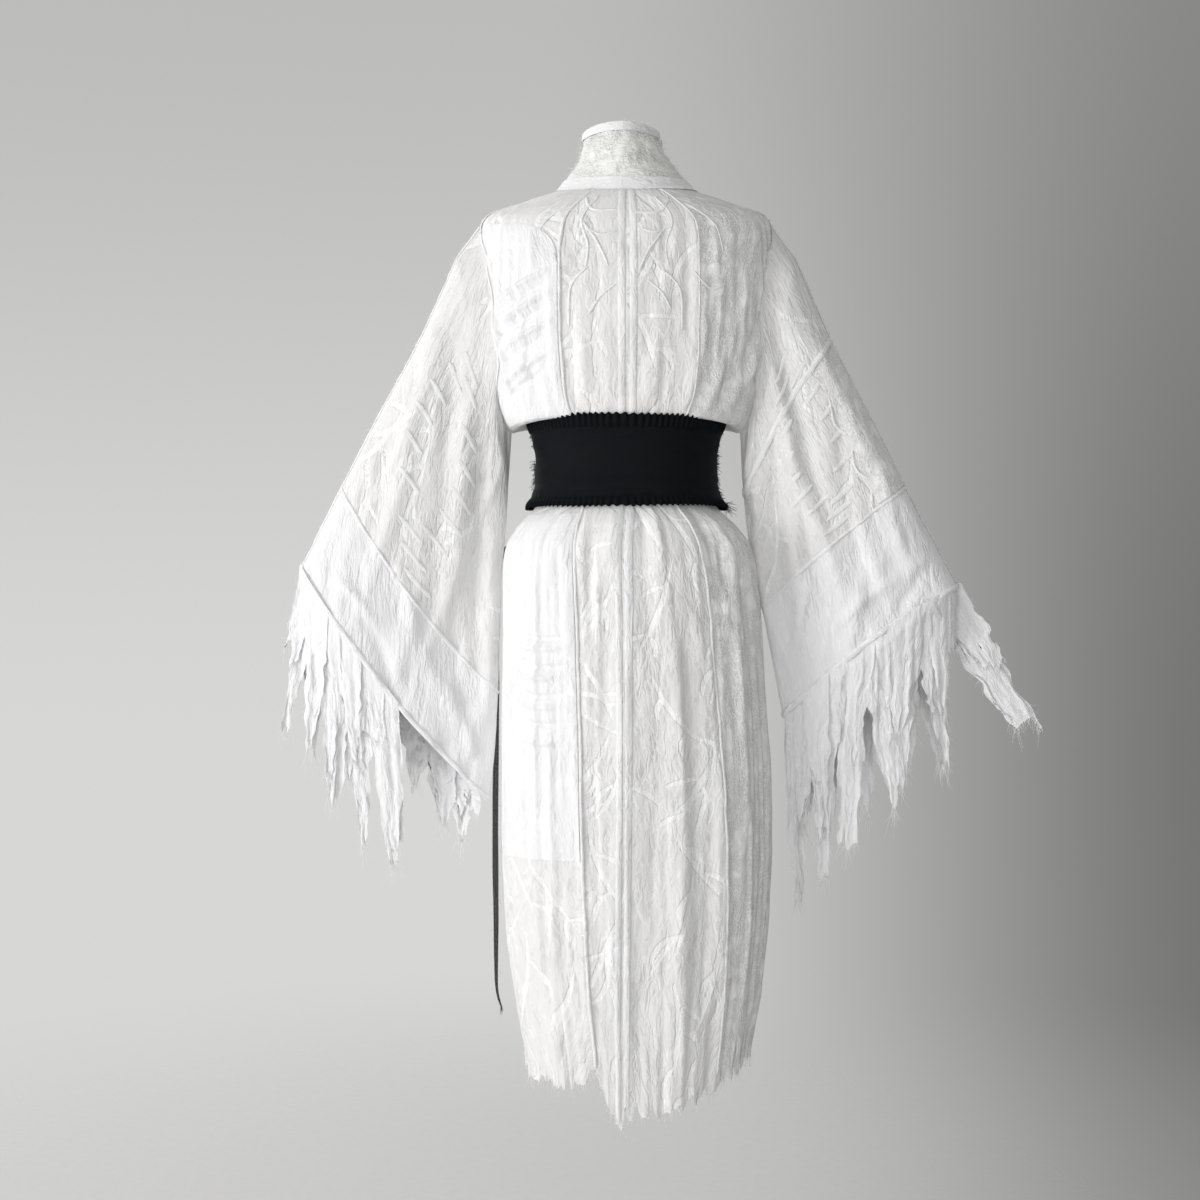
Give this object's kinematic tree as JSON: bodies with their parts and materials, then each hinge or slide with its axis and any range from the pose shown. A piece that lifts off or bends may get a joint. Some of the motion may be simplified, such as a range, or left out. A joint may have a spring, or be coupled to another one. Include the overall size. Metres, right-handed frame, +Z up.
{
  "type": "yukata robe",
  "caption": "Torn white cotton-gauze robe, open at the neck, with a tall stand collar, wide ragged sleeves, a wide black stretch belt and a hanging black tie.",
  "frame": {"origin": "between the wearer's shoulders, level with the place where the shoulder line meets the collar", "axes": "+Z up, the front faces -Y, the wearer's left is +X"},
  "size_m": [1.108, 0.2512, 1.4191],
  "materials": {
    "sheer_gauze": "sheer crinkled gauze with opaque woven motifs",
    "lace_gauze": "crinkled lace gauze",
    "plain_cotton": "matt plain-woven gauze with frayed edges",
    "black_knit": "matt stretch knit"
  },
  "bodies": {
    "root": {"back_binding_left": "plain_cotton", "back_binding_right": "plain_cotton", "back_centre_left": "sheer_gauze", "back_centre_right": "sheer_gauze", "back_side_left": "sheer_gauze", "back_side_right": "lace_gauze", "belt_back": "black_knit", "belt_frill_foot": "black_knit", "belt_frill_top": "black_knit", "belt_front": "black_knit", "belt_tie": "black_knit", "collar": "lace_gauze", "collar_base_binding": "plain_cotton", "collar_top_binding": "plain_cotton", "front_left": "sheer_gauze", "front_right": "lace_gauze", "overlap_left": "sheer_gauze", "overlap_right": "lace_gauze", "patch_shoulder_left": "plain_cotton", "patch_skirt_left": "plain_cotton", "sleeve_cap_right": "sheer_gauze", "sleeve_lace_right": "lace_gauze", "sleeve_lower_left": "plain_cotton", "sleeve_lower_right": "plain_cotton", "sleeve_upper_left": "sheer_gauze", "sleeve_upper_right": "sheer_gauze", "torn_strips_back_left": "plain_cotton", "torn_strips_back_right": "plain_cotton", "torn_strips_front_left": "plain_cotton", "torn_strips_front_right": "plain_cotton"}
  },
  "joints": []
}
